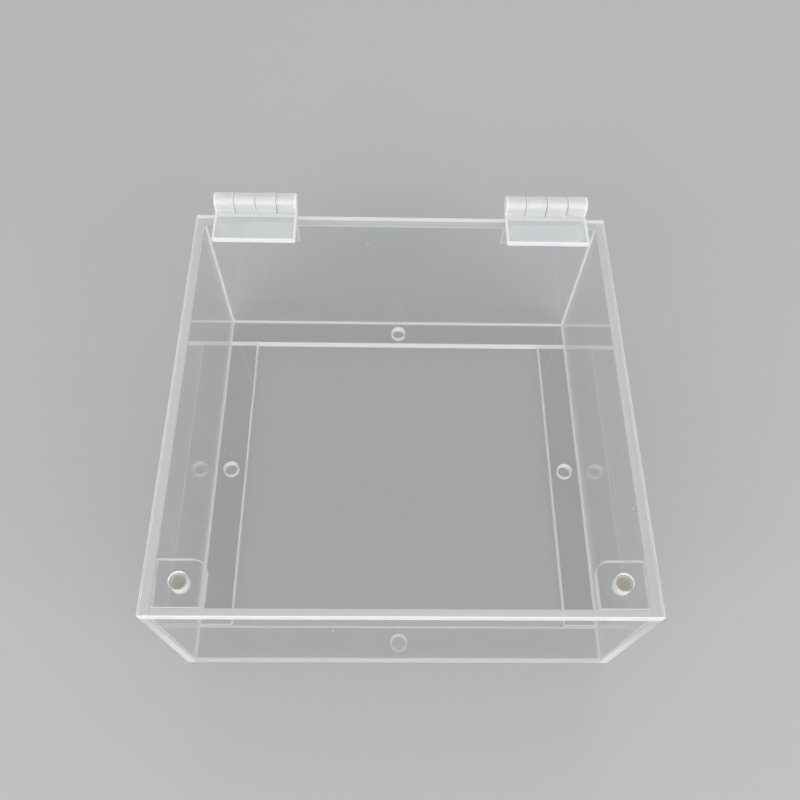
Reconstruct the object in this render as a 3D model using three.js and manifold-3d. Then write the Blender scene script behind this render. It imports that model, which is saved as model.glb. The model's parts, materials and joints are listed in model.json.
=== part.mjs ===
// Clear acrylic cover box: four walls round an open foot, a screw flange of four strips inside the
// foot, and a flat lid on two moulded hinges, held shut by magnets in the two front corners.
// Millimetres, +Z up, the front faces -Y, and the lid is shut. The origin lies on the surface that
// the box stands on, in the middle of its outline, hinges included.

import * as THREE from "three";
import { mergeVertices } from "three/addons/utils/BufferGeometryUtils.js";
import Module from "manifold-3d";

const wasm = await Module();
wasm.setup();

// Walls and lid, cut from clear sheet
const BOX_WIDTH = 150;
const BOX_DEPTH = 150;
const WALL_HEIGHT = 59;
const WALL_THICKNESS = 3;
const LID_THICKNESS = 3;

// Flange strips inside the foot, with a screw hole in the middle of each
const FLANGE_WIDTH = 12;
const FLANGE_THICKNESS = 3;
const SCREW_HOLE_DIAMETER = 5;

// Tabs in the front corners, level with the top of the walls
const TAB_SIZE = 15;
const TAB_THICKNESS = 3;
const TAB_CORNER_RADIUS = 4.5;

// Disc magnets, one in each tab and one over it in the lid
const MAGNET_DIAMETER = 5;
const MAGNET_HEIGHT = 2;
const MAGNET_CHAMFER = 0.3;
const MAGNET_HOLE_CLEARANCE = 0.15;
const MAGNET_SETBACK = 0.1;

// Hinges: two alike leaves on a pin, glued to the lid's top and to the back wall
const HINGE_LENGTH = 30;
const HINGE_INSET = 7;
const LEAF_REACH = 16.5;
const LEAF_THICKNESS = 1.8;
const LEAF_EDGE_RADIUS = 0.5;
const BARREL_RADIUS = 3.2;
const BARREL_FILLET = 0.8;
const KNUCKLES_PER_LEAF = 2;
const KNUCKLE_GAP = 0.5;
const KNUCKLE_SWING_CLEARANCE = 0.3;
const PIN_DIAMETER = 2;
const PIN_CHAMFER = 0.2;
const PIN_CLEARANCE = 0.08;
const GLUE_FILM = 0.1;

// Sides of a round hole, disc or barrel. An arc in an outline is drawn with twice ARC_STEPS sides.
const ARC_STEPS = 12;
const ROUND_SIDES = 2 * ARC_STEPS;

// Places that follow from the sizes
const innerWidth = BOX_WIDTH - 2 * WALL_THICKNESS;
const innerDepth = BOX_DEPTH - 2 * WALL_THICKNESS;
const axisStandoff = GLUE_FILM + BARREL_RADIUS;
const frontY = -(BOX_DEPTH + axisStandoff + BARREL_RADIUS) / 2;
const middleY = frontY + BOX_DEPTH / 2;
const backY = frontY + BOX_DEPTH;
const lidTop = WALL_HEIGHT + LID_THICKNESS;
const axisY = backY + axisStandoff;
const axisZ = lidTop + axisStandoff;
const hingeX = (BOX_WIDTH - HINGE_LENGTH) / 2 - HINGE_INSET;
const magnetX = (innerWidth - TAB_SIZE) / 2;
const magnetY = middleY - (innerDepth - TAB_SIZE) / 2;
const magnetHoleDiameter = MAGNET_DIAMETER + 2 * MAGNET_HOLE_CLEARANCE;
const sides = { left: -1, right: 1 };

function clearAcrylic() {
  return new THREE.MeshStandardMaterial({
    color: 0xe6eaec,
    roughness: 0.06,
    metalness: 0,
    transparent: true,
    opacity: 0.3,
  });
}

function mouldedPlastic() {
  return new THREE.MeshStandardMaterial({
    color: 0xf2f4f5,
    roughness: 0.18,
    metalness: 0,
    transparent: true,
    opacity: 0.5,
  });
}

function nickelPlate() {
  return new THREE.MeshStandardMaterial({ color: 0xc4bfae, roughness: 0.35, metalness: 1 });
}

function piece(name, geometry, material, x, y, z) {
  const mesh = new THREE.Mesh(geometry, material);
  mesh.name = name;
  mesh.position.set(x, y, z);
  return mesh;
}

// A sheet lying flat, its underside at z = 0
function flatSheet(outline, thickness) {
  return new THREE.ExtrudeGeometry(outline, {
    depth: thickness,
    bevelEnabled: false,
    curveSegments: ARC_STEPS,
  });
}

function rectangle(width, depth) {
  const outline = new THREE.Shape();
  outline.moveTo(-width / 2, -depth / 2);
  outline.lineTo(width / 2, -depth / 2);
  outline.lineTo(width / 2, depth / 2);
  outline.lineTo(-width / 2, depth / 2);
  outline.closePath();
  return outline;
}

function roundHole(x, y, diameter) {
  return new THREE.Path().absarc(x, y, diameter / 2, 0, 2 * Math.PI, false);
}

// A solid of revolution about Z with both rims chamfered, centred on the origin
function chamferedDisc(diameter, height, chamfer) {
  const radius = diameter / 2;
  const profile = [
    new THREE.Vector2(0, -height / 2),
    new THREE.Vector2(radius - chamfer, -height / 2),
    new THREE.Vector2(radius, -height / 2 + chamfer),
    new THREE.Vector2(radius, height / 2 - chamfer),
    new THREE.Vector2(radius - chamfer, height / 2),
    new THREE.Vector2(0, height / 2),
  ];
  return new THREE.LatheGeometry(profile, ROUND_SIDES).rotateX(Math.PI / 2);
}

function toSolid(geometry) {
  const bare = geometry.clone().deleteAttribute("normal").deleteAttribute("uv");
  const merged = mergeVertices(bare);
  return new wasm.Manifold(new wasm.Mesh({
    numProp: 3,
    vertProperties: Float32Array.from(merged.attributes.position.array),
    triVerts: Uint32Array.from(merged.index.array),
  }));
}

function toGeometry(solid) {
  const mesh = solid.getMesh();
  const geometry = new THREE.BufferGeometry();
  geometry.setAttribute("position", new THREE.BufferAttribute(mesh.vertProperties, 3));
  geometry.setIndex(new THREE.BufferAttribute(mesh.triVerts, 1));
  geometry.computeVertexNormals();
  return geometry;
}

// The side walls run the full depth and the front and back walls stand between them.
function walls() {
  const side = () => new THREE.BoxGeometry(WALL_THICKNESS, BOX_DEPTH, WALL_HEIGHT);
  const cross = () => new THREE.BoxGeometry(innerWidth, WALL_THICKNESS, WALL_HEIGHT);
  const sideX = (BOX_WIDTH - WALL_THICKNESS) / 2;
  const crossY = (BOX_DEPTH - WALL_THICKNESS) / 2;
  const z = WALL_HEIGHT / 2;
  return [
    piece("left_wall", side(), clearAcrylic(), -sideX, middleY, z),
    piece("right_wall", side(), clearAcrylic(), sideX, middleY, z),
    piece("front_wall", cross(), clearAcrylic(), 0, middleY - crossY, z),
    piece("back_wall", cross(), clearAcrylic(), 0, middleY + crossY, z),
  ];
}

// The front and back strips fill the inner width and the side strips fit between them.
function baseFlange() {
  const strip = (width, depth) => {
    const outline = rectangle(width, depth);
    outline.holes.push(roundHole(0, 0, SCREW_HOLE_DIAMETER));
    return flatSheet(outline, FLANGE_THICKNESS);
  };
  const cross = () => strip(innerWidth, FLANGE_WIDTH);
  const side = () => strip(FLANGE_WIDTH, innerDepth - 2 * FLANGE_WIDTH);
  const crossY = (innerDepth - FLANGE_WIDTH) / 2;
  const sideX = (innerWidth - FLANGE_WIDTH) / 2;
  return [
    piece("base_flange_front", cross(), clearAcrylic(), 0, middleY - crossY, 0),
    piece("base_flange_back", cross(), clearAcrylic(), 0, middleY + crossY, 0),
    piece("base_flange_left", side(), clearAcrylic(), -sideX, middleY, 0),
    piece("base_flange_right", side(), clearAcrylic(), sideX, middleY, 0),
  ];
}

// A square tab with its free corner rounded, drawn for the left front corner of the box
function cornerTabOutline() {
  const half = TAB_SIZE / 2;
  const arcCentre = half - TAB_CORNER_RADIUS;
  const outline = new THREE.Shape();
  outline.moveTo(-half, -half);
  outline.lineTo(half, -half);
  outline.absarc(arcCentre, arcCentre, TAB_CORNER_RADIUS, 0, Math.PI / 2, false);
  outline.lineTo(-half, half);
  outline.closePath();
  outline.holes.push(roundHole(0, 0, magnetHoleDiameter));
  return outline;
}

function magnet(name, x, y, z) {
  const disc = chamferedDisc(MAGNET_DIAMETER, MAGNET_HEIGHT, MAGNET_CHAMFER);
  return piece(name, disc, nickelPlate(), x, y, z);
}

// The tabs carry the lower magnets just under the face that the lid closes on.
function cornerTabs() {
  const tabZ = WALL_HEIGHT - TAB_THICKNESS;
  const magnetZ = WALL_HEIGHT - MAGNET_SETBACK - MAGNET_HEIGHT / 2;
  return Object.entries(sides).flatMap(([side, sign]) => {
    const tabSheet = flatSheet(cornerTabOutline(), TAB_THICKNESS);
    const tab = piece(`corner_tab_${side}`, tabSheet, clearAcrylic(), sign * magnetX, magnetY, tabZ);
    tab.rotation.z = sign < 0 ? 0 : Math.PI / 2;
    return [tab, magnet(`tab_magnet_${side}`, sign * magnetX, magnetY, magnetZ)];
  });
}

// Section through a leaf, seen along the pin, with the pin at the origin: a plate that reaches
// towards -x with its glue face tangent to the barrel, and a fillet where plate meets barrel
function leafSection() {
  const glueFace = -BARREL_RADIUS;
  const outerFace = glueFace + LEAF_THICKNESS;
  const filletY = outerFace + BARREL_FILLET;
  const filletX = -Math.sqrt((BARREL_RADIUS + BARREL_FILLET) ** 2 - filletY ** 2);
  const filletAngle = Math.atan2(filletY, filletX);
  const edgeX = -LEAF_REACH + LEAF_EDGE_RADIUS;
  const edgeY = outerFace - LEAF_EDGE_RADIUS;
  const section = new THREE.Shape();
  section.moveTo(-LEAF_REACH, glueFace);
  section.lineTo(0, glueFace);
  section.absarc(0, 0, BARREL_RADIUS, -Math.PI / 2, filletAngle, false);
  section.absarc(filletX, filletY, BARREL_FILLET, filletAngle + Math.PI, -Math.PI / 2, true);
  section.absarc(edgeX, edgeY, LEAF_EDGE_RADIUS, Math.PI / 2, Math.PI, false);
  section.closePath();
  section.holes.push(roundHole(0, 0, PIN_DIAMETER + 2 * PIN_CLEARANCE));
  return section;
}

// The leaf's section drawn out along the pin, then slotted for the other leaf's knuckles. Both
// leaves of a hinge are this one shape: turned end for end, its knuckles fill the other's slots.
function hingeLeaf() {
  const knuckles = 2 * KNUCKLES_PER_LEAF;
  const knuckleWidth = (HINGE_LENGTH - (knuckles - 1) * KNUCKLE_GAP) / knuckles;
  const pitch = knuckleWidth + KNUCKLE_GAP;
  const slotWidth = knuckleWidth + 2 * KNUCKLE_GAP;
  const slotReach = BARREL_RADIUS + KNUCKLE_SWING_CLEARANCE;
  const drawnOut = new THREE.ExtrudeGeometry(leafSection(), {
    depth: HINGE_LENGTH,
    bevelEnabled: false,
    curveSegments: ARC_STEPS,
  });
  drawnOut.translate(0, 0, -HINGE_LENGTH / 2);
  const alongX = new THREE.Vector3(1, 0, 0);
  const alongY = new THREE.Vector3(0, 1, 0);
  const alongZ = new THREE.Vector3(0, 0, 1);
  drawnOut.applyMatrix4(new THREE.Matrix4().makeBasis(alongY, alongZ, alongX));
  let leaf = toSolid(drawnOut);
  for (let knuckle = 1; knuckle < knuckles; knuckle += 2) {
    const slot = new THREE.BoxGeometry(slotWidth, 2 * slotReach, 2 * slotReach);
    const knuckleX = -HINGE_LENGTH / 2 + knuckle * pitch + knuckleWidth / 2;
    leaf = leaf.subtract(toSolid(slot.translate(knuckleX, 0, 0)));
  }
  return toGeometry(leaf);
}

function hingePin() {
  return chamferedDisc(PIN_DIAMETER, HINGE_LENGTH, PIN_CHAMFER).rotateY(Math.PI / 2);
}

// Everything that stays still: walls, flange, tabs, the wall leaves and the pins held in them
function buildCase() {
  const fixed = new THREE.Group();
  fixed.add(...walls(), ...baseFlange(), ...cornerTabs());
  const leafDiagonal = new THREE.Vector3(0, 1, 1).normalize();
  for (const [side, sign] of Object.entries(sides)) {
    const x = sign * hingeX;
    const leaf = piece(`hinge_wall_leaf_${side}`, hingeLeaf(), mouldedPlastic(), x, axisY, axisZ);
    leaf.quaternion.setFromAxisAngle(leafDiagonal, Math.PI);
    fixed.add(leaf, piece(`hinge_pin_${side}`, hingePin(), mouldedPlastic(), x, axisY, axisZ));
  }
  return fixed;
}

// Everything that swings: this group's origin lies on the pins' axis, so turning it opens the lid.
function buildLid() {
  const swinging = new THREE.Group();
  swinging.position.set(0, axisY, axisZ);
  const outline = rectangle(BOX_WIDTH, BOX_DEPTH);
  for (const sign of Object.values(sides)) {
    outline.holes.push(roundHole(sign * magnetX, magnetY - middleY, magnetHoleDiameter));
  }
  const panel = flatSheet(outline, LID_THICKNESS);
  const panelZ = WALL_HEIGHT - axisZ;
  const magnetZ = panelZ + MAGNET_SETBACK + MAGNET_HEIGHT / 2;
  swinging.add(piece("lid_panel", panel, clearAcrylic(), 0, middleY - axisY, panelZ));
  for (const [side, sign] of Object.entries(sides)) {
    swinging.add(
      magnet(`lid_magnet_${side}`, sign * magnetX, magnetY - axisY, magnetZ),
      piece(`hinge_lid_leaf_${side}`, hingeLeaf(), mouldedPlastic(), sign * hingeX, 0, 0),
    );
  }
  return swinging;
}

const coverBox = new THREE.Group();
coverBox.add(buildCase(), buildLid());

export default coverBox;
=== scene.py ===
# %% [markdown]
# # A clear acrylic cover box
#
# The real box is glued up from flat clear sheet. Four walls stand round an open foot, four strips make
# a screw flange inside the foot, and a flat lid turns on two moulded hinges and is held shut by small
# magnets in the front corners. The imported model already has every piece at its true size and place.
# This lesson models each piece again with the details that light shows up on clear plastic: eased
# edges, sawn ends, drilled holes, rounded knuckles. Each new piece then stands in for the plain one.

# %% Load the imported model
import json
import math
import bmesh
import bpy
from mathutils import Matrix, Vector


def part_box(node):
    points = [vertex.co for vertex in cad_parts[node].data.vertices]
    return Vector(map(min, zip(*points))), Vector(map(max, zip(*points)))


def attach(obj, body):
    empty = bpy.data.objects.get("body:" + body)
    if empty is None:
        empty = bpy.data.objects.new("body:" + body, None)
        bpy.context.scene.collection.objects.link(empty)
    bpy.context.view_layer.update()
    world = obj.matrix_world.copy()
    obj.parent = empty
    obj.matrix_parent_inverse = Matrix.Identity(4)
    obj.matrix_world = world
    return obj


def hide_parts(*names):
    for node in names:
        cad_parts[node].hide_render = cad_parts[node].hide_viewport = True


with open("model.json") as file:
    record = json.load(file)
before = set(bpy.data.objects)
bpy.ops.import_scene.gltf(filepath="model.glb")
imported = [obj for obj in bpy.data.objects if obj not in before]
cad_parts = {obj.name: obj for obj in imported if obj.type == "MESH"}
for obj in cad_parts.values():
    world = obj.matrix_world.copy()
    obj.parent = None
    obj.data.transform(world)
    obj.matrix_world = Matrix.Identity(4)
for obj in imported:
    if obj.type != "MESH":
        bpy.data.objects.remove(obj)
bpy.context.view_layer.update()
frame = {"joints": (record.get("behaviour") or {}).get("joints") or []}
MM = 0.001

# %% [markdown]
# ## Camera
#
# The photograph looks steeply down from the front. Its station was worked out from the corners of the
# box, so it is written as a place and three angles instead of being aimed by eye. The picture was
# trimmed below its optical centre, and a small vertical shift of the lens repeats that.

# %% Camera
CAMERA_PLACE = Vector((-4.98, -133.39, 268.15)) * MM
CAMERA_PITCH = math.radians(64.68)
CAMERA_YAW = math.radians(-2.54)
CAMERA_ROLL = math.radians(2.69)
LENS_LENGTH = 33.48
SENSOR_WIDTH = 36
LENS_SHIFT = 0.102
NEAREST_SEEN = 10 * MM

camera_data = bpy.data.cameras.new("camera")
camera_data.lens = LENS_LENGTH
camera_data.sensor_width = SENSOR_WIDTH
camera_data.shift_y = LENS_SHIFT
camera_data.clip_start = NEAREST_SEEN
camera = bpy.data.objects.new("camera", camera_data)
bpy.context.collection.objects.link(camera)
tilt = Matrix.Rotation(math.pi / 2 - CAMERA_PITCH, 4, "X")
turn = Matrix.Rotation(CAMERA_YAW, 4, "Z")
roll = Matrix.Rotation(CAMERA_ROLL, 4, "Z")
camera.matrix_world = Matrix.Translation(CAMERA_PLACE) @ turn @ tilt @ roll
bpy.context.scene.camera = camera
print("camera stands", round(CAMERA_PLACE.z / MM), "mm above the floor")

# %% [markdown]
# ## Helpers for modelling by operator
#
# Blender's operators act on whatever is selected, so each piece starts from an empty selection. In
# edit mode, edges are picked in code by where their two ends lie, in place of clicking on them. The
# tool used most on this box is the bevel, so picking and bevelling are one helper.

# %% Selecting and bevelling
SAME_PLACE = 0.01 * MM


def deselect_all():
    bpy.ops.object.select_all(action="DESELECT")


def make_active(piece):
    """Selects the piece alone, so that the next operator acts on it."""
    deselect_all()
    piece.select_set(True)
    bpy.context.view_layer.objects.active = piece


def bevel_edges(piece, wanted, width, segments):
    """Bevels the edges whose two ends satisfy wanted(end, end), and counts them."""
    make_active(piece)
    bpy.ops.object.mode_set(mode="EDIT")
    bpy.ops.mesh.select_mode(type="EDGE")
    bpy.ops.mesh.select_all(action="DESELECT")
    cage = bmesh.from_edit_mesh(piece.data)
    picked = [edge for edge in cage.edges if wanted(edge.verts[0].co, edge.verts[1].co)]
    for edge in picked:
        edge.select_set(True)
    bmesh.update_edit_mesh(piece.data)
    bpy.ops.mesh.bevel(offset=width, segments=segments, affect="EDGES")
    bpy.ops.object.mode_set(mode="OBJECT")
    return len(picked)


def every_edge(a, b):
    return True


def level_edge(a, b):
    return abs(a.z - b.z) < SAME_PLACE


def edge_across_pin(a, b):
    return abs(a.x - b.x) < SAME_PLACE


print("selection helpers ready")

# %% [markdown]
# ## Finishes
#
# A finish is a small tree of nodes. These helpers add the nodes that every finish here needs: a noise
# over the piece, a bump, a change of range. Lamps have to reach the inside of the box, so for shadow
# rays and diffuse rays each plastic is plain see-through, with a slight tint that stands for its shadow.

# %% Node helpers
def new_finish(name):
    """A material with empty nodes, and its tree."""
    finish = bpy.data.materials.new(name)
    finish.use_nodes = True
    finish.node_tree.nodes.clear()
    return finish, finish.node_tree


def add_node(tree, kind, settings=None, **values):
    """A shader node with its properties set and its input sockets filled or linked."""
    node = tree.nodes.new(kind)
    for key, value in (settings or {}).items():
        setattr(node, key, value)
    for key, value in values.items():
        socket = node.inputs[key.replace("_", " ")]
        if isinstance(value, bpy.types.NodeSocket):
            tree.links.new(value, socket)
        else:
            socket.default_value = value
    return node


def object_place(tree, spread=(1, 1, 1)):
    """Object coordinates in metres, stretched by spread."""
    place = add_node(tree, "ShaderNodeTexCoord").outputs["Object"]
    return add_node(tree, "ShaderNodeMapping", Vector=place, Scale=spread).outputs["Vector"]


def noise(tree, spread=(1, 1, 1), **values):
    """A noise over the piece. The spread makes it finer along some axes than along others."""
    return add_node(tree, "ShaderNodeTexNoise", Vector=object_place(tree, spread), **values).outputs["Fac"]


def bump(tree, height, **values):
    """The normal of a surface that a height pattern dents."""
    return add_node(tree, "ShaderNodeBump", Height=height, **values).outputs["Normal"]


def stretch(tree, value, source, target):
    """A value mapped from one range to another."""
    node = add_node(tree, "ShaderNodeMapRange", Value=value, From_Min=source[0], From_Max=source[1],
                    To_Min=target[0], To_Max=target[1])
    return node.outputs["Result"]


def combine(tree, operation, first, second):
    """Two values made one by an operation such as SUBTRACT or MAXIMUM."""
    node = add_node(tree, "ShaderNodeMath", {"operation": operation})
    tree.links.new(first, node.inputs[0])
    tree.links.new(second, node.inputs[1])
    return node.outputs[0]


def choose(tree, which, first, second):
    """The first shader where which is 0 and the second where it is 1."""
    mix = add_node(tree, "ShaderNodeMixShader", Fac=which)
    tree.links.new(first, mix.inputs[1])
    tree.links.new(second, mix.inputs[2])
    return mix.outputs[0]


def end_in_plastic(tree, tint, **values):
    """Ends a tree in a plastic that shadow rays and diffuse rays go straight through."""
    shader = add_node(tree, "ShaderNodeBsdfPrincipled", **values).outputs[0]
    path = add_node(tree, "ShaderNodeLightPath")
    through = add_node(tree, "ShaderNodeBsdfTransparent", Color=tint)
    for ray in ("Is Shadow Ray", "Is Diffuse Ray"):
        shader = choose(tree, path.outputs[ray], shader, through.outputs[0])
    add_node(tree, "ShaderNodeOutputMaterial", Surface=shader)


print("node helpers ready")

# %% [markdown]
# Clear acrylic is bright, hard and almost colourless. What tells it from glass is handling: faint wipe
# marks, specks, fine scratches and a slight waviness of the cast sheet, which make its mirror images
# soft. All of these belong in roughness and bump, because colour would make the sheet look dirty. For
# the specks, a Voronoi pattern parts the sheet into cells, each with a random colour. The few cells
# whose red is high get a small round spot in the middle, and the higher the red, the larger the spot.

# %% Clear polished sheet
ACRYLIC_IOR = 1.49
SHEET_COLOUR = (0.985, 0.988, 0.99, 1)
WALL_TINT = (0.87, 0.872, 0.875, 1)
STRIP_TINT = (0.95, 0.952, 0.955, 1)
WIPE_SPREAD = (45, 18, 30)
WIPE_LEVELS = (0.5, 0.8)
WIPE_ROUGHNESS = (0.0, 0.06)
SPECK_CELLS = 170.0
SPECK_LOT = (0.75, 1.0)
SPECK_REACH = (0.0, 0.075)
SPECK_FADE = (0.0, 0.02)
SPECK_ROUGHNESS = (0.0, 0.5)
SCRATCH_SPREAD = (900, 60, 300)


def make_clear_sheet(name, tint):
    """Wipe marks and a few specks are rough, and waves and scratches are bumps."""
    finish, tree = new_finish(name)
    wipes = noise(tree, WIPE_SPREAD, Scale=1.0, Detail=4.0, Roughness=0.6, Distortion=0.8)
    smear = stretch(tree, wipes, WIPE_LEVELS, WIPE_ROUGHNESS)
    cells = add_node(tree, "ShaderNodeTexVoronoi", Vector=object_place(tree), Scale=SPECK_CELLS)
    lot = add_node(tree, "ShaderNodeSeparateColor", Color=cells.outputs["Color"])
    reach = stretch(tree, lot.outputs["Red"], SPECK_LOT, SPECK_REACH)
    inside = combine(tree, "SUBTRACT", reach, cells.outputs["Distance"])
    speck = stretch(tree, inside, SPECK_FADE, SPECK_ROUGHNESS)
    waves = bump(tree, noise(tree, Scale=28.0, Detail=1.0), Strength=0.008, Distance=0.001)
    scratches = noise(tree, SCRATCH_SPREAD, Scale=1.0, Detail=3.0)
    lines = bump(tree, scratches, Strength=0.012, Distance=0.0002, Normal=waves)
    end_in_plastic(tree, tint, Base_Color=SHEET_COLOUR, IOR=ACRYLIC_IOR, Transmission_Weight=1.0,
                   Roughness=combine(tree, "MAXIMUM", smear, speck), Normal=lines)
    return finish


clear_sheet = make_clear_sheet("clear_polished_sheet", WALL_TINT)
clear_strip = make_clear_sheet("clear_polished_strip", STRIP_TINT)
print("made", clear_sheet.name, "and", clear_strip.name)

# %% [markdown]
# The narrow sides of a sheet draw the box, because they scatter light and read as white lines. They
# aren't all alike. A sawn end is half clear and slightly pink, a scraped rim is whiter, a drilled hole
# and the foot, which was rubbed flat, are matt, and the top of a wall is smooth. The wall tops are
# painted a darker grey than the other sides: painted shade for tops that lie under the lid.

# %% Cut edges
CUT_TINT = (0.92, 0.92, 0.92, 1)
PATCH_LEVELS = (0.3, 0.7)
SLIGHT_PINK = (0.91, 0.878, 0.868, 1)
WARM_WHITE = (0.985, 0.968, 0.966, 1)
MATT_WHITE = (0.99, 0.98, 0.978, 1)
SHADED_TOP_GREY = (0.83, 0.85, 0.845, 1)


def make_cut_edge(name, shade, clearness, roughness):
    """Fine ridges all over, and patches that go from the lower roughness to the higher."""
    finish, tree = new_finish(name)
    patches = noise(tree, Scale=140.0, Detail=3.0)
    ridges = noise(tree, Scale=5200.0, Detail=2.0)
    end_in_plastic(tree, CUT_TINT, Base_Color=shade, IOR=ACRYLIC_IOR, Transmission_Weight=clearness,
                   Roughness=stretch(tree, patches, PATCH_LEVELS, roughness),
                   Normal=bump(tree, ridges, Strength=0.02, Distance=0.00005))
    return finish


sawn_end = make_cut_edge("sawn_sheet_end", SLIGHT_PINK, clearness=0.5, roughness=(0.3, 0.5))
scraped_rim = make_cut_edge("scraped_sheet_rim", WARM_WHITE, clearness=0.18, roughness=(0.08, 0.25))
matt_cut = make_cut_edge("matt_drilled_or_rubbed", MATT_WHITE, clearness=0.06, roughness=(0.35, 0.6))
# The grey of the wall tops is painted shade, not a colour of the sheet.
smooth_top = make_cut_edge("smooth_wall_top", SHADED_TOP_GREY, clearness=0.1, roughness=(0.1, 0.25))
print("made", sawn_end.name, scraped_rim.name, matt_cut.name, "and", smooth_top.name)

# %% [markdown]
# The hinges are moulded in one go from clear plastic that is a little milky. The mould leaves faint
# flow lines, which bend the light, and a surface less perfect than the sheet's. Where the moulding is
# thick or rounded it looks milkier. The glue under it is close to it in colour and has the same nodes.

# %% Moulded plastic
MOULDING_IOR = 1.5
MOULDING_COLOUR = (0.95, 0.96, 0.965, 1)
THIN_TINT = (0.95, 0.955, 0.96, 1)
THICK_TINT = (0.86, 0.87, 0.88, 1)
FLOW_SPREAD = (60, 160, 160)
FLOW_LEVELS = (0.3, 0.75)


def make_moulding(name, tint, clearness, roughness):
    """Flow lines that dent the surface and go from the lower roughness to the higher."""
    finish, tree = new_finish(name)
    flow = noise(tree, FLOW_SPREAD, Scale=1.0, Detail=3.0, Distortion=1.2)
    end_in_plastic(tree, tint, Base_Color=MOULDING_COLOUR, IOR=MOULDING_IOR, Transmission_Weight=clearness,
                   Roughness=stretch(tree, flow, FLOW_LEVELS, roughness),
                   Normal=bump(tree, flow, Strength=0.06, Distance=0.0006))
    return finish


moulded_plate = make_moulding("milky_moulded_plastic", THIN_TINT, clearness=0.87, roughness=(0.01, 0.06))
moulded_barrel = make_moulding("milky_moulded_barrel", THICK_TINT, clearness=0.55, roughness=(0.05, 0.16))
moulded_rim = make_moulding("milky_moulded_rim", THICK_TINT, clearness=0.18, roughness=(0.07, 0.2))
glue_film = make_moulding("milky_glue_film", THIN_TINT, clearness=0.75, roughness=(0.05, 0.15))
glue_rim = make_moulding("white_glue_rim", THICK_TINT, clearness=0.05, roughness=(0.1, 0.3))
print("made", moulded_plate.name, moulded_barrel.name, "and", moulded_rim.name, "for the hinges")
print("made", glue_film.name, "and", glue_rim.name, "for the glue")

# %% [markdown]
# The magnets are small discs plated with nickel. The plate is satin, slightly yellow, and carries fine
# scratches and dull patches from the press that set them in their holes.

# %% Nickel plate
NICKEL_SHADES = ((0.82, 0.80, 0.71, 1), (0.88, 0.86, 0.78, 1))
NICKEL_ROUGHNESS = (0.38, 0.48)
PRESS_MARK_SPREAD = (5000, 700, 2000)


def make_nickel_plate():
    """Patches that change both shade and roughness a little, and fine scratches."""
    finish, tree = new_finish("satin_nickel_plate")
    patches = noise(tree, Scale=700.0, Detail=2.0)
    scratches = noise(tree, PRESS_MARK_SPREAD, Scale=1.0, Detail=1.0)
    shade = add_node(tree, "ShaderNodeValToRGB", Fac=patches)
    for stop in range(2):
        shade.color_ramp.elements[stop].position = PATCH_LEVELS[stop]
        shade.color_ramp.elements[stop].color = NICKEL_SHADES[stop]
    nickel = add_node(tree, "ShaderNodeBsdfPrincipled", Base_Color=shade.outputs["Color"], Metallic=1.0,
                      Roughness=stretch(tree, patches, PATCH_LEVELS, NICKEL_ROUGHNESS),
                      Normal=bump(tree, scratches, Strength=0.02, Distance=0.00003))
    add_node(tree, "ShaderNodeOutputMaterial", Surface=nickel.outputs[0])
    return finish


nickel_plate = make_nickel_plate()
print("made", nickel_plate.name)

# %% [markdown]
# ## Sheets
#
# Every wall, strip and lid starts as a cube stretched to the box of its CAD piece, a hair smaller so
# that glued faces don't lie in each other. All edges are eased with a small bevel, as scraping does,
# because a perfectly sharp edge catches no light.

# %% Cutting a sheet
GLUE_LINE = 0.02 * MM
EASED_EDGE = 0.22 * MM
EASING_STEPS = 2


def place_in_mesh():
    """Moves the active piece's place, turn and scale into its mesh."""
    bpy.ops.object.transform_apply(location=True, rotation=True, scale=True)


def add_block(middle, size):
    """A cube stretched to a size, as a start."""
    deselect_all()
    bpy.ops.mesh.primitive_cube_add(size=1, location=middle, scale=size)
    place_in_mesh()
    return bpy.context.object


def saw_sheet(node):
    """A sharp-edged sheet in the place of a CAD piece."""
    low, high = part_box(node)
    hair = Vector((GLUE_LINE, GLUE_LINE, GLUE_LINE))
    sheet = add_block((low + high) / 2, high - low - 2 * hair)
    sheet.name = node + "_sheet"
    return sheet


def cut_sheet(node, eased=EASED_EDGE):
    """A sheet with eased edges in the place of a CAD piece."""
    sheet = saw_sheet(node)
    bevel_edges(sheet, every_edge, eased, EASING_STEPS)
    return sheet


print("sheets get edges eased by", EASED_EDGE / MM, "mm")

# %% [markdown]
# The two broad faces of a sheet take the polished finish, and each narrow side takes one of the cut
# ones. Faces are told apart by which way they look. Shading is smooth across the eased edges only.

# %% Finishing a sheet
SQUARE_ON = 0.999
HOLE_MARGIN = 1.2
SHEET_SMOOTHING = 12


def paint(piece, finish_of):
    """Gives each face of the piece the finish that finish_of(face) returns."""
    for face in piece.data.polygons:
        finish = finish_of(face)
        if piece.data.materials.find(finish.name) < 0:
            piece.data.materials.append(finish)
        face.material_index = piece.data.materials.find(finish.name)


def smooth_by_angle(piece, degrees):
    """Shades the piece smooth, apart from edges sharper than the angle."""
    make_active(piece)
    bpy.ops.object.shade_smooth_by_angle(angle=math.radians(degrees))


def finish_sheet(sheet, polished, side_finish, holes=(), radius=0.0):
    """Polished broad faces, matt holes, and on the narrow sides what side_finish(face) returns."""
    thin = min(range(3), key=lambda axis: sheet.dimensions[axis])

    def finish_of(face):
        if abs(face.normal[thin]) > SQUARE_ON:
            return polished
        for hole in holes:
            if (face.center.xy - hole.xy).length < HOLE_MARGIN * radius:
                return matt_cut
        return side_finish(face)

    paint(sheet, finish_of)
    smooth_by_angle(sheet, SHEET_SMOOTHING)


print("sheets are smooth across edges under", SHEET_SMOOTHING, "degrees")

# %% [markdown]
# ## Walls
#
# The side walls run the full depth of the box and the front and back walls stand between them, so the
# sawn ends of the side walls show as two pale bands at the front. The ends of the other two walls are
# hidden in the glue joints, where they were scraped flat and read as white upright lines.

# %% Walls
LOOKS_UP = 0.3


def take_part(piece, node, body):
    """The piece moves with the body and stands in for the plain CAD piece, which is hidden."""
    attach(piece, body)
    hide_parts(node)


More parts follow.
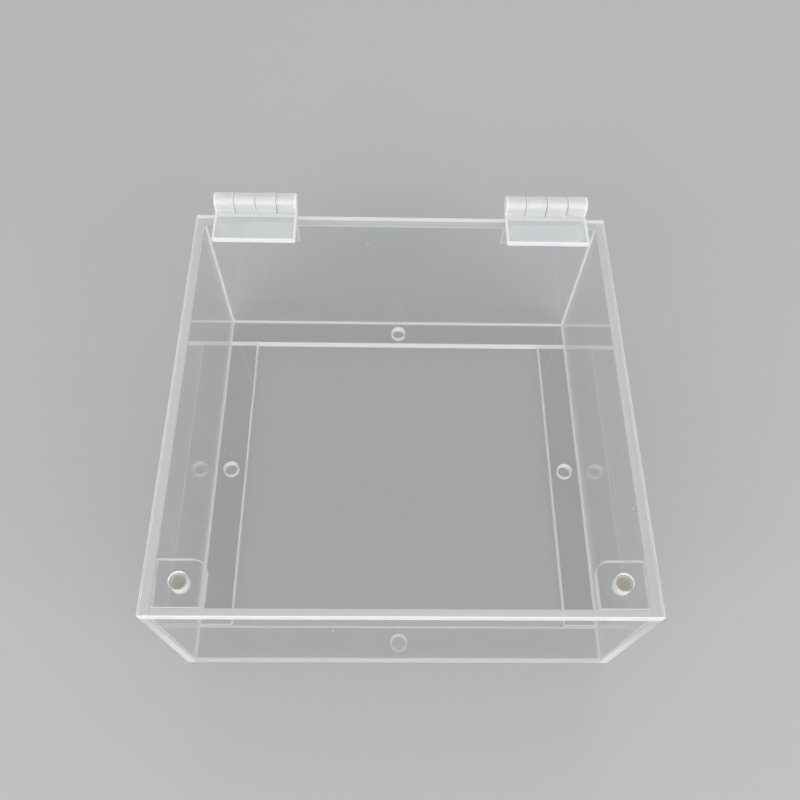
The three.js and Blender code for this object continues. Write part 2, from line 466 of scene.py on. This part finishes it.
def upright_side(face, end_finish):
    """A wall's smooth top, its rubbed foot, or the finish of its two ends."""
    if face.normal.z > LOOKS_UP:
        return smooth_top
    return matt_cut if face.normal.z < -LOOKS_UP else end_finish


def open_end(face):
    return upright_side(face, sawn_end)


def glued_end(face):
    return upright_side(face, scraped_rim)


for wall, side in (("left_wall", open_end), ("right_wall", open_end),
                   ("front_wall", glued_end), ("back_wall", glued_end)):
    sheet = cut_sheet(wall)
    finish_sheet(sheet, clear_sheet, side)
    take_part(sheet, wall, "case")

# %% [markdown]
# A bead of cement fills the two back corners from the strips up to the lid. It shows as a white upright
# line. Each bead is a thin square post whose edge towards the room is rounded off by a bevel.

# %% Cement beads
BEAD_WIDTH = 0.7 * MM
BEAD_ROUNDING = 0.85 * BEAD_WIDTH
BEAD_STEPS = 6
BEAD_SMOOTHING = 40
inner_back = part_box("back_wall")[0].y
bead_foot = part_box("base_flange_back")[1].z + GLUE_LINE
bead_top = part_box("back_wall")[1].z - BEAD_WIDTH


def lay_bead(name, corner_x):
    """A bead in a back corner, on the room's side of corner_x."""
    inward = -math.copysign(1, corner_x)
    middle = Vector((corner_x + inward * (GLUE_LINE + BEAD_WIDTH / 2),
                     inner_back - GLUE_LINE - BEAD_WIDTH / 2, (bead_foot + bead_top) / 2))
    bead = add_block(middle, (BEAD_WIDTH, BEAD_WIDTH, bead_top - bead_foot))
    bead.name = name

    def towards_room(a, b):
        return all((end.x - middle.x) * inward > 0 and end.y < middle.y for end in (a, b))

    bevel_edges(bead, towards_room, BEAD_ROUNDING, BEAD_STEPS)
    bead.data.materials.append(glue_rim)
    smooth_by_angle(bead, BEAD_SMOOTHING)
    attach(bead, "case")


lay_bead("cement_bead_left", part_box("left_wall")[1].x)
lay_bead("cement_bead_right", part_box("right_wall")[0].x)
print("two beads,", round((bead_top - bead_foot) / MM, 1), "mm long")

# %% [markdown]
# ## Holes
#
# A hole is drilled with a Boolean: a round cutter, longer than the sheet is thick, is taken away from
# it. The rim is then bevelled, because a drill leaves a burr that is scraped off with a countersink.

# %% Drilling
ROUND_SIDES = 64
RIM_CHAMFER = 0.18 * MM
RIM_REACH = 0.02 * MM
BIT_LENGTH = 3


def add_rod(middle, radius, length, sides, turned=(0, 0, 0)):
    """A cylinder, upright unless it is turned, as a start."""
    deselect_all()
    bpy.ops.mesh.primitive_cylinder_add(vertices=sides, radius=radius, depth=length,
                                        location=middle, rotation=turned)
    place_in_mesh()
    return bpy.context.object


def cut_away(piece, cutter):
    """Takes the cutter's shape out of the piece and throws the cutter away."""
    cut = piece.modifiers.new("cut", "BOOLEAN")
    cut.object = cutter
    cut.operation = "DIFFERENCE"
    make_active(piece)
    bpy.ops.object.modifier_apply(modifier=cut.name)
    bpy.data.objects.remove(cutter)


def drill(sheet, centre, radius, chamfer=RIM_CHAMFER):
    """A round upright hole through a flat sheet, with both rims chamfered. Counts the rims' edges."""
    low_z = min(corner.co.z for corner in sheet.data.vertices)
    high_z = max(corner.co.z for corner in sheet.data.vertices)
    middle = (centre.x, centre.y, (low_z + high_z) / 2)
    cut_away(sheet, add_rod(middle, radius, BIT_LENGTH * (high_z - low_z), ROUND_SIDES))

    def at_rim(a, b):
        off_rim = max(abs((end.xy - centre.xy).length - radius) for end in (a, b))
        return off_rim < RIM_REACH and abs(a.z - b.z) < RIM_REACH

    return bevel_edges(sheet, at_rim, chamfer, segments=1)


print("holes get", ROUND_SIDES, "sides")

# %% [markdown]
# ## Flange strips
#
# Four strips lie inside the foot with one screw hole each. The hole's width is the CAD one, and its rims
# are countersunk a little, which draws a white ring. The strips' edges are scraped off wider than the
# walls' edges, so they read as broad white lines from above.

# %% Flange strips
SCREW_HOLE_RADIUS = 2.5 * MM
SCREW_HOLE_CHAMFER = 0.5 * MM
STRIP_EDGE = 0.45 * MM


def middle_of(node):
    """The middle of a CAD piece's box."""
    low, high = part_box(node)
    return (low + high) / 2


def scraped_side(face):
    return scraped_rim


for side in ("front", "back", "left", "right"):
    strip = "base_flange_" + side
    hole = middle_of(strip)
    sheet = cut_sheet(strip, STRIP_EDGE)
    rim = drill(sheet, hole, SCREW_HOLE_RADIUS, SCREW_HOLE_CHAMFER)
    finish_sheet(sheet, clear_strip, scraped_side, [hole], SCREW_HOLE_RADIUS)
    take_part(sheet, strip, "case")
    print(strip, "drilled, rim edges:", rim)

# %% [markdown]
# ## Corner tabs
#
# A small square of the same sheet is glued under the lid in each front corner, with its free corner
# rounded. The upright edge at that corner is found by its place and bevelled with many segments, which
# is how a round corner is made from a square one.

# %% Corner tabs
TAB_CORNER_RADIUS = 4.5 * MM
TAB_CORNER_STEPS = 24
MAGNET_HOLE_RADIUS = 2.65 * MM


def cut_tab(node, free_side):
    """A tab with its free corner on the right where free_side is 1, and on the left where it is -1."""
    low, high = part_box(node)
    corner_x = high.x - GLUE_LINE if free_side > 0 else low.x + GLUE_LINE
    corner = Vector((corner_x, high.y - GLUE_LINE))
    tab = saw_sheet(node)

    def at_corner(a, b):
        return max((a.xy - corner).length, (b.xy - corner).length) < SAME_PLACE

    bevel_edges(tab, at_corner, TAB_CORNER_RADIUS, TAB_CORNER_STEPS)
    bevel_edges(tab, level_edge, EASED_EDGE, EASING_STEPS)
    return tab


for side, free_side in (("left", 1), ("right", -1)):
    node = "corner_tab_" + side
    hole = middle_of("tab_magnet_" + side)
    tab = cut_tab(node, free_side)
    rim = drill(tab, hole, MAGNET_HOLE_RADIUS)
    finish_sheet(tab, clear_strip, scraped_side, [hole], MAGNET_HOLE_RADIUS)
    take_part(tab, node, "case")
    print(node, "rounded and drilled, rim edges:", rim)

# %% [markdown]
# ## Lid
#
# The lid is one sheet with two holes for its magnets. It covers the walls to their outer faces, so its
# scraped edges frame the box from above.

# %% Lid
lid = cut_sheet("lid_panel")
lid_holes = [middle_of("lid_magnet_" + side) for side in ("left", "right")]
for hole in lid_holes:
    drill(lid, hole, MAGNET_HOLE_RADIUS)
finish_sheet(lid, clear_sheet, scraped_side, lid_holes, MAGNET_HOLE_RADIUS)
take_part(lid, "lid_panel", "lid")
print("lid has", len(lid.data.polygons), "faces")

# %% [markdown]
# ## Magnets
#
# Each magnet is a pressed disc with well rounded rims. One is made from a cylinder, by a bevel of its
# two rims, and copied into the four places.

# %% Magnets
MAGNET_RADIUS = 2.5 * MM
MAGNET_ROUNDING = 0.5 * MM
MAGNET_STEPS = 6
ROUND_SMOOTHING = 30


def press_magnet(node):
    """A magnet in the place of a CAD piece."""
    low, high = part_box(node)
    disc = add_rod((low + high) / 2, MAGNET_RADIUS, high.z - low.z, ROUND_SIDES)
    bevel_edges(disc, level_edge, MAGNET_ROUNDING, MAGNET_STEPS)
    smooth_by_angle(disc, ROUND_SMOOTHING)
    disc.data.materials.append(nickel_plate)
    return disc


def copy_of(piece):
    """A copy with a mesh of its own, selected and active."""
    make_active(piece)
    bpy.ops.object.duplicate()
    return bpy.context.object


pressed = press_magnet("lid_magnet_left")
for body, holder in (("lid", "lid"), ("case", "tab")):
    for side in ("left", "right"):
        node = holder + "_magnet_" + side
        disc = copy_of(pressed)
        disc.name = node + "_disc"
        disc.location = middle_of(node) - middle_of("lid_magnet_left")
        place_in_mesh()
        take_part(disc, node, body)
bpy.data.objects.remove(pressed)
print("four magnets,", 2 * MAGNET_RADIUS / MM, "mm wide")

# %% [markdown]
# ## Hinge leaves
#
# Both leaves of a hinge are the same moulding: a plate that runs into a barrel, with two slots for the
# other leaf's knuckles. Its section is drawn like a path with the pen never lifted: one vertex is
# extruded and spun round the barrel, round the small fillet and round the plate's free edge, and the
# closed path is filled.

# %% Section of a leaf
PIN_AXIS = Vector(frame["joints"][0]["pos_m"])
LEAF_REACH = 16.5 * MM
LEAF_THICKNESS = 1.8 * MM
LEAF_EDGE_RADIUS = 0.5 * MM
BARREL_RADIUS = 3.2 * MM
BARREL_FILLET = 0.8 * MM
BARREL_STEPS = 60
FILLET_STEPS = 8
LEAF_EDGE_STEPS = 6
MILKY_ROOT = 6 * MM
SECTION_WELD = 0.005 * MM


def draw_on(towards):
    """Extrudes what is selected by a straight step."""
    bpy.ops.mesh.extrude_region_move(TRANSFORM_OT_translate={"value": towards})


def draw_arc(centre, degrees, steps):
    """Spins the pen's vertex about a line along X. Spin counts angles the other way round."""
    bpy.ops.mesh.spin(steps=steps, angle=-math.radians(degrees), center=centre, axis=(1, 0, 0))


def draw_leaf_section(x):
    """One filled face across the pin at x, for a plate that reaches to the front. Stays in edit mode."""
    fillet_up = LEAF_THICKNESS + BARREL_FILLET - BARREL_RADIUS
    fillet_out = math.sqrt((BARREL_RADIUS + BARREL_FILLET) ** 2 - fillet_up ** 2)
    dip = math.degrees(math.asin(-fillet_up / (BARREL_RADIUS + BARREL_FILLET)))
    axis = Vector((x, PIN_AXIS.y, PIN_AXIS.z))
    fillet = axis + Vector((0, -fillet_out, fillet_up))
    edge_up = LEAF_THICKNESS - LEAF_EDGE_RADIUS - BARREL_RADIUS
    edge = axis + Vector((0, LEAF_EDGE_RADIUS - LEAF_REACH, edge_up))
    deselect_all()
    bpy.ops.mesh.primitive_plane_add(size=MM, location=axis - Vector((0, LEAF_REACH, BARREL_RADIUS)))
    place_in_mesh()
    section = bpy.context.object
    bpy.ops.object.mode_set(mode="EDIT")
    bpy.ops.mesh.select_mode(type="VERT")
    bpy.ops.mesh.select_all(action="SELECT")
    bpy.ops.mesh.merge(type="CENTER")
    draw_on((0, LEAF_REACH, 0))
    draw_arc(axis, 270 + dip, BARREL_STEPS)
    draw_arc(fillet, -(90 + dip), FILLET_STEPS)
    draw_on((0, fillet_out - MILKY_ROOT, 0))
    draw_on((0, edge.y - axis.y + MILKY_ROOT, 0))
    draw_arc(edge, 90, LEAF_EDGE_STEPS)
    draw_on((0, 0, axis.z - BARREL_RADIUS - edge.z))
    bpy.ops.mesh.select_all(action="SELECT")
    bpy.ops.mesh.remove_doubles(threshold=SECTION_WELD)
    bpy.ops.mesh.edge_face_add()
    return section


print("a leaf reaches", LEAF_REACH / MM, "mm from its pin")

# %% [markdown]
# The section is drawn out along the pin in three steps, so that a milky band is left at each end. The
# bore and the two slots are then cut away, and bevels round what the mould would round: first the two
# ends, and after cutting, by their angle, the edges of the slots.

# %% Slots, bore and rounding
HINGE_LENGTH = 30 * MM
KNUCKLE_COUNT = 4
KNUCKLE_GAP = 0.5 * MM
KNUCKLE_WIDTH = (HINGE_LENGTH - (KNUCKLE_COUNT - 1) * KNUCKLE_GAP) / KNUCKLE_COUNT
ALONG_PIN = (0, math.pi / 2, 0)
BORE_RADIUS = 1.08 * MM
SLOT_REACH = 4.2 * MM
SLOT_ROUNDING = 0.3 * MM
SLOT_STEPS = 3
SLOT_EDGE_ANGLE = 40
END_ROUNDING = 0.48 * MM
END_STEPS = 4
LEAF_WELD = 0.003 * MM
LEAF_SMOOTHING = 32
MILKY_BAND = 0.9 * MM
LOOKS_DOWN = -0.5
LOOKS_ALONG = 0.2
leaf_middle = Vector((middle_of("hinge_lid_leaf_left").x, PIN_AXIS.y, PIN_AXIS.z))


def leaf_finish(face):
    """Milky round the edges and on the barrel, where the mould is thick or curved, and clearer between."""
    from_pin = (face.center - PIN_AXIS).yz.length
    in_free_edge = face.center.y < PIN_AXIS.y - LEAF_REACH + LEAF_EDGE_RADIUS
    to_end = HINGE_LENGTH / 2 - abs(face.center.x - leaf_middle.x)
    if in_free_edge and face.normal.z > LOOKS_DOWN:
        return moulded_rim
    if to_end < MILKY_BAND or abs(face.normal.x) > LOOKS_ALONG:
        return moulded_rim
    return moulded_barrel if from_pin < MILKY_ROOT else moulded_plate


def edge_of_leaf_end(a, b):
    """Is the edge in one of the leaf's two end faces?"""
    off_end = max(abs(abs(end.x - leaf_middle.x) - HINGE_LENGTH / 2) for end in (a, b))
    return off_end < SAME_PLACE and edge_across_pin(a, b)


def mould_leaf():
    """The lid leaf of the left hinge."""
    start_x = leaf_middle.x - HINGE_LENGTH / 2
    leaf = draw_leaf_section(start_x)
    for step in (MILKY_BAND, HINGE_LENGTH - 2 * MILKY_BAND, MILKY_BAND):
        draw_on((step, 0, 0))
    bpy.ops.mesh.select_all(action="SELECT")
    bpy.ops.mesh.normals_make_consistent(inside=False)
    bpy.ops.object.mode_set(mode="OBJECT")
    bevel_edges(leaf, edge_of_leaf_end, END_ROUNDING, END_STEPS)
    cut_away(leaf, add_rod(leaf_middle, BORE_RADIUS, 2 * HINGE_LENGTH, ROUND_SIDES, ALONG_PIN))
    slot_size = (KNUCKLE_WIDTH + 2 * KNUCKLE_GAP, 2 * SLOT_REACH, 2 * SLOT_REACH)
    for knuckle in range(1, KNUCKLE_COUNT, 2):
        slot_x = start_x + knuckle * (KNUCKLE_WIDTH + KNUCKLE_GAP) + KNUCKLE_WIDTH / 2
        cut_away(leaf, add_block((slot_x, leaf_middle.y, leaf_middle.z), slot_size))
    rounding = leaf.modifiers.new("rounding", "BEVEL")
    rounding.width = SLOT_ROUNDING
    rounding.segments = SLOT_STEPS
    rounding.limit_method = "ANGLE"
    rounding.angle_limit = math.radians(SLOT_EDGE_ANGLE)
    bpy.ops.object.modifier_apply(modifier=rounding.name)
    bpy.ops.object.mode_set(mode="EDIT")
    bpy.ops.mesh.select_all(action="SELECT")
    bpy.ops.mesh.remove_doubles(threshold=LEAF_WELD)
    bpy.ops.object.mode_set(mode="OBJECT")
    smooth_by_angle(leaf, LEAF_SMOOTHING)
    paint(leaf, leaf_finish)
    return leaf


moulding = mould_leaf()
print("the moulding has", len(moulding.data.polygons), "faces")

# %% [markdown]
# Each leaf is glued on, and the glue shows through it as a thin film with a rounded, uneven outline, a
# paler rim and a few trapped bubbles. The outline is a plane with bevelled corners whose points are
# shaken and smoothed. An inset makes the rim, and a flattened ball makes a bubble.

# %% Glue film
FILM_FLOOR = 0.08 * MM
FILM_THICKNESS = 0.06 * MM
FILM_RIM = 0.6 * MM
FILM_FRONT = 1.3 * MM
FILM_DEPTH = 7.8 * MM
FILM_CORNER = 0.42 * FILM_DEPTH
FILM_CORNER_STEPS = 8
FILM_SHAKE = 0.5 * MM
FILM_SEED = 7
FILM_MIDDLE_AREA = 20 * MM * MM
BUBBLES = ((-11.5 * MM, 10 * MM), (-2.6 * MM, 9.6 * MM), (1.8 * MM, 14 * MM))
BUBBLE_RADIUS = 0.55 * MM


def film_finish(face):
    """Only the film's two middle faces are large. All the others belong to its rim or to a bubble."""
    return glue_film if face.area > FILM_MIDDLE_AREA else glue_rim


def trap_bubble(x, from_pin, height):
    """A ball as flat as the film, at x from the leaf's middle."""
    deselect_all()
    bpy.ops.mesh.primitive_uv_sphere_add(segments=16, ring_count=8, radius=BUBBLE_RADIUS,
                                         location=(leaf_middle.x + x, PIN_AXIS.y - from_pin, height))
    bubble = bpy.context.object
    bubble.scale.z = 0.5 * FILM_THICKNESS / BUBBLE_RADIUS
    place_in_mesh()
    return bubble


def spread_glue(left, right):
    """A film under the left hinge's lid leaf, from left to right of the leaf's middle."""
    plate_bottom = PIN_AXIS.z - BARREL_RADIUS
    middle = Vector((leaf_middle.x + (left + right) / 2,
                     PIN_AXIS.y - LEAF_REACH + FILM_FRONT + FILM_DEPTH / 2, plate_bottom - FILM_FLOOR))
    deselect_all()
    bpy.ops.mesh.primitive_plane_add(size=1, location=middle)
    film = bpy.context.object
    film.scale = (right - left, FILM_DEPTH, 1)
    place_in_mesh()
    bpy.ops.object.mode_set(mode="EDIT")
    bpy.ops.mesh.select_all(action="SELECT")
    bpy.ops.mesh.bevel(offset=FILM_CORNER, segments=FILM_CORNER_STEPS, affect="VERTICES")
    bpy.ops.mesh.select_all(action="SELECT")
    bpy.ops.mesh.subdivide(number_cuts=2)
    bpy.ops.transform.vertex_random(offset=FILM_SHAKE, seed=FILM_SEED)
    bpy.ops.mesh.vertices_smooth(factor=0.5, repeat=5)
    bpy.ops.transform.resize(value=(1, 1, 0), center_override=middle)
    bpy.ops.mesh.inset(thickness=FILM_RIM)
    bpy.ops.mesh.select_all(action="SELECT")
    draw_on((0, 0, FILM_THICKNESS))
    bpy.ops.mesh.select_all(action="SELECT")
    bpy.ops.mesh.normals_make_consistent(inside=False)
    bpy.ops.object.mode_set(mode="OBJECT")
    bubbles = [trap_bubble(x, from_pin, middle.z + FILM_THICKNESS / 2) for x, from_pin in BUBBLES]
    make_active(film)
    for bubble in bubbles:
        bubble.select_set(True)
    bpy.ops.object.join()
    paint(film, film_finish)
    return film


print("the glue is", FILM_THICKNESS / MM, "mm thick")

# %% [markdown]
# The same moulding serves four times. The lid leaves are the moulding itself, moved along. A wall leaf
# is the moulding turned half round about the slanting line between up and back, which swaps the two
# directions and turns it end for end, so that its knuckles fall into the lid leaf's slots. Its glue
# makes the same turn. The left hinge's glue covers only about half of its length.

# %% Four leaves
GLUED_SPANS = (("left", -3.5 * MM, 13 * MM), ("right", -13 * MM, 13 * MM))
UP_AND_BACK = Vector((0, 1, 1)).normalized()


def copy_to_leaf(piece, node, turned):
    """A copy of a piece of the left hinge's lid leaf, placed on another leaf."""
    copied = copy_of(piece)
    to_origin = Matrix.Translation(-leaf_middle)
    half_turn = Matrix.Rotation(math.pi if turned else 0, 4, UP_AND_BACK)
    back = Matrix.Translation((middle_of(node).x, PIN_AXIS.y, PIN_AXIS.z))
    copied.matrix_world = back @ half_turn @ to_origin
    place_in_mesh()
    return copied


def low_corner(piece):
    """The lowest corner of a piece's box, in mm."""
    return [round(min(corner.co[axis] for corner in piece.data.vertices) / MM, 2) for axis in range(3)]


for side, glue_from, glue_to in GLUED_SPANS:
    film = spread_glue(glue_from, glue_to)
    for holder, body, turned in (("lid", "lid", False), ("wall", "case", True)):
        node = "hinge_" + holder + "_leaf_" + side
        leaf = copy_to_leaf(moulding, node, turned)
        leaf.name = node + "_moulding"
        take_part(leaf, node, body)
        glue = copy_to_leaf(film, node, turned)
        glue.name = node + "_glue"
        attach(glue, body)
        cad_corner = [round(place / MM, 2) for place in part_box(node)[0]]
        print(node, "low corner", low_corner(leaf), "CAD", cad_corner, "glue", low_corner(glue))
    bpy.data.objects.remove(film)
bpy.data.objects.remove(moulding)

# %% [markdown]
# ## Hinge pins
#
# A plain rod joins the knuckles. Its ends are rounded so that it could be pushed in.

# %% Hinge pins
PIN_RADIUS = 1.0 * MM
PIN_SIDES = 48
PIN_ROUNDING = 0.3 * MM
PIN_STEPS = 4

for side in ("left", "right"):
    node = "hinge_pin_" + side
    low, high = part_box(node)
    rod = add_rod((low + high) / 2, PIN_RADIUS, high.x - low.x, PIN_SIDES, ALONG_PIN)
    rod.name = node + "_rod"
    bevel_edges(rod, edge_across_pin, PIN_ROUNDING, PIN_STEPS)
    smooth_by_angle(rod, ROUND_SMOOTHING)
    rod.data.materials.append(moulded_rim)
    take_part(rod, node, "case")
print("pins are", 2 * PIN_RADIUS / MM, "mm thick")

# %% [markdown]
# ## Floor and light
#
# White edges need something less white behind them, so the floor is a plain pale grey. Far from the box
# it fades into the paler surround, which hides the horizon in low views. The light that it throws back
# on the box is paler than the floor looks, so that the inside isn't dull.

# %% Floor
FLOOR_SHADE = (0.56, 0.56, 0.565, 1)
FLOOR_BOUNCE = (0.85, 0.85, 0.855, 1)
SURROUND_SHADE = (0.82, 0.82, 0.825, 1)
FLOOR_RADIUS = 8
FLOOR_SIDES = 96
FLOOR_DROP = 0.02 * MM
FADE_AWAY = (0.45, 1.6)
NONE_TO_ALL = (0.0, 1.0)


def seen_rays(tree):
    """1 for rays that show what they hit: from the camera, off a gloss or through a clear piece."""
    path = add_node(tree, "ShaderNodeLightPath")
    seen = path.outputs["Is Camera Ray"]
    for name in ("Is Glossy Ray", "Is Transmission Ray"):
        seen = combine(tree, "MAXIMUM", seen, path.outputs[name])
    return seen


def make_pale_floor():
    """Grey near the box, the surround's own shade far off, and paler for the light that it throws."""
    finish, tree = new_finish("pale_floor")
    matt = add_node(tree, "ShaderNodeBsdfDiffuse", Color=FLOOR_SHADE).outputs[0]
    bounce = add_node(tree, "ShaderNodeBsdfDiffuse", Color=FLOOR_BOUNCE).outputs[0]
    far_off = add_node(tree, "ShaderNodeEmission", Color=SURROUND_SHADE).outputs[0]
    distance = add_node(tree, "ShaderNodeVectorMath", {"operation": "LENGTH"})
    tree.links.new(add_node(tree, "ShaderNodeTexCoord").outputs["Object"], distance.inputs[0])
    fade = stretch(tree, distance.outputs["Value"], FADE_AWAY, NONE_TO_ALL)
    look = choose(tree, seen_rays(tree), bounce, choose(tree, fade, matt, far_off))
    add_node(tree, "ShaderNodeOutputMaterial", Surface=look)
    return finish


deselect_all()
bpy.ops.mesh.primitive_circle_add(vertices=FLOOR_SIDES, radius=FLOOR_RADIUS, fill_type="NGON",
                                  location=(0, 0, -FLOOR_DROP))
floor = bpy.context.object
floor.name = "floor"
floor.data.materials.append(make_pale_floor())
print("floor laid,", FLOOR_RADIUS, "m in radius")

# %% [markdown]
# Two wide soft lamps stand low in front, because sawn edges and drilled holes face sideways: a lamp
# overhead would light the floor and leave the edges dull. A third, weaker one does the same for the
# hinges from behind. Their mirror images are switched off, because in low views they would fill the
# whole lid with white, and the pale surround is left to make the gloss.

# %% Lamps
LAMP_WIDTH = 1.0
LAMP_HEIGHT = 0.7
LAMP_AIM = Vector((0, 0, 0.03))
LAMPS = (("left_softbox", (-0.70, -0.92, 0.66), 8.5),
         ("right_softbox", (0.84, -0.78, 0.66), 7.6),
         ("back_softbox", (0.1, 1.15, 0.60), 4.0))


def hang_lamp(name, place, power):
    """A soft lamp aimed at the box."""
    data = bpy.data.lights.new(name, "AREA")
    data.shape = "RECTANGLE"
    data.size = LAMP_WIDTH
    data.size_y = LAMP_HEIGHT
    data.energy = power
    lamp = bpy.data.objects.new(name, data)
    lamp.location = place
    lamp.rotation_euler = (LAMP_AIM - Vector(place)).to_track_quat("-Z", "Y").to_euler()
    lamp.visible_glossy = False
    lamp.visible_transmission = False
    bpy.context.collection.objects.link(lamp)


for name, place, power in LAMPS:
    hang_lamp(name, place, power)
print("lamps hung:", len(LAMPS))

# %% [markdown]
# The surround lights the box evenly from all sides. Where it is seen, in a gloss or through a clear
# piece too, it is pale near the horizon and darker overhead, so that the lid's mirror image isn't white.

# %% Surround
SURROUND_LIGHT = 0.52
OVERHEAD_FROM = (0.35, 0.95)
OVERHEAD_DIMS = (1.0, 0.35)

world = bpy.data.worlds.new("pale_surround")
bpy.context.scene.world = world
world.use_nodes = True
surround = world.node_tree
surround.nodes.clear()
even = add_node(surround, "ShaderNodeBackground", Strength=SURROUND_LIGHT)
around = add_node(surround, "ShaderNodeTexCoord")
upward = add_node(surround, "ShaderNodeSeparateXYZ", Vector=around.outputs["Generated"])
overhead = stretch(surround, upward.outputs["Z"], OVERHEAD_FROM, OVERHEAD_DIMS)
shown = add_node(surround, "ShaderNodeBackground", Color=SURROUND_SHADE, Strength=overhead)
sky = choose(surround, seen_rays(surround), even.outputs[0], shown.outputs[0])
add_node(surround, "ShaderNodeOutputWorld", Surface=sky)
bpy.context.scene.view_settings.view_transform = "Standard"
print("surround set")
